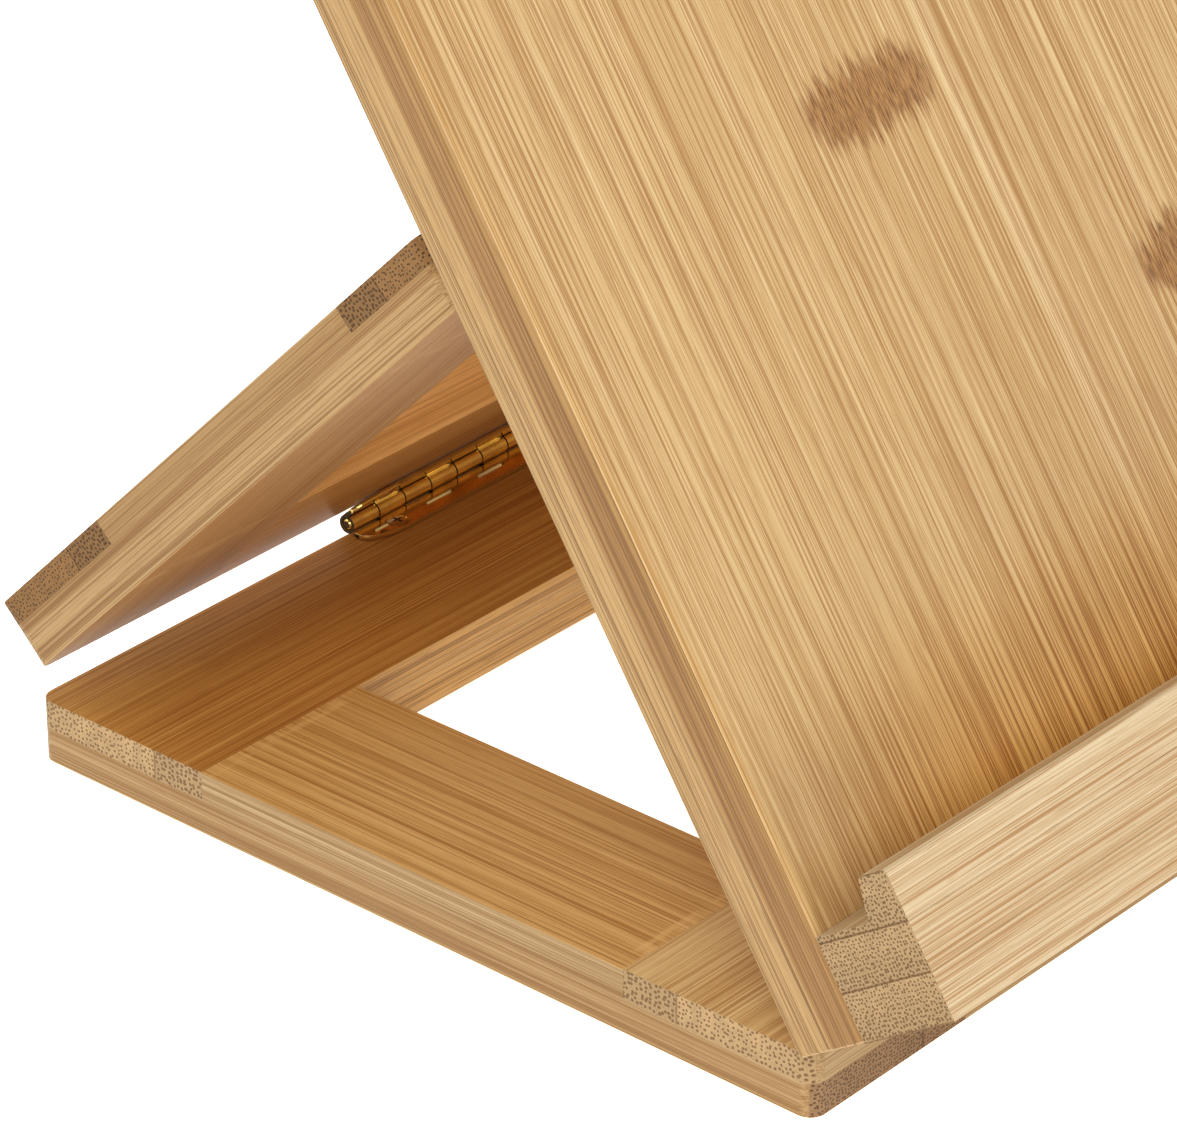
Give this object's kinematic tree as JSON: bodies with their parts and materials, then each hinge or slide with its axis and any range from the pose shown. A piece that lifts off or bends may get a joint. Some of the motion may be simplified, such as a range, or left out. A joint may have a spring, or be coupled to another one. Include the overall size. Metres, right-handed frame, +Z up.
{
  "type": "book display stand",
  "caption": "Folding bamboo book display stand: a flat base frame, a hinged support frame and a leaning reading board with a book ledge.",
  "frame": {"origin": "on the table, under the middle of the stand's bounding box in the reading position", "axes": "+X across the stand, +Y from the reader to the back, +Z up"},
  "size_m": [0.322, 0.2098, 0.2212],
  "materials": {
    "board_bamboo": "lacquered, fine long grain",
    "frame_bamboo": "lacquered, long grain with dotted end grain",
    "ledge_bamboo": "lacquered, pale long grain",
    "brass": "polished",
    "screw": "polished"
  },
  "bodies": {
    "base": {"base_front_rail": "frame_bamboo", "base_left_stile": "frame_bamboo", "base_rear_rail": "frame_bamboo", "base_right_stile": "frame_bamboo", "front_hinge_base_leaf": "brass", "front_hinge_base_screw_1": "screw", "front_hinge_base_screw_2": "screw", "front_hinge_base_screw_3": "screw", "front_hinge_base_screw_4": "screw", "front_hinge_pin": "brass", "rear_hinge_base_leaf": "brass", "rear_hinge_base_screw_1": "screw", "rear_hinge_base_screw_2": "screw", "rear_hinge_base_screw_3": "screw", "rear_hinge_base_screw_4": "screw", "rear_hinge_pin": "brass"},
    "support": {"rear_hinge_support_leaf": "brass", "rear_hinge_support_screw_1": "screw", "rear_hinge_support_screw_2": "screw", "rear_hinge_support_screw_3": "screw", "rear_hinge_support_screw_4": "screw", "support_bottom_rail": "frame_bamboo", "support_left_stile": "frame_bamboo", "support_right_stile": "frame_bamboo", "support_top_rail": "frame_bamboo"},
    "reading_board": {"front_hinge_board_leaf": "brass", "front_hinge_board_screw_1": "screw", "front_hinge_board_screw_2": "screw", "front_hinge_board_screw_3": "screw", "front_hinge_board_screw_4": "screw", "ledge_lip_strip": "ledge_bamboo", "ledge_lower_strip": "ledge_bamboo", "ledge_middle_strip": "ledge_bamboo", "reading_board": "board_bamboo", "stop_batten": "ledge_bamboo"}
  },
  "joints": [
    {"name": "board_tilt", "type": "hinge", "parent": "base", "child": "reading_board", "pos_m": [0, -0.07212, 0.014], "axis": [1, 0, 0], "range_deg": [0, 13.4]},
    {"name": "support_fold", "type": "hinge", "parent": "base", "child": "support", "pos_m": [0, 0.09603, 0.014], "axis": [1, 0, 0], "range_deg": [0, 45.6]}
  ],
  "couplings": [
    {"joint": "support_fold", "follows": "board_tilt", "ratio": 3.4}
  ]
}
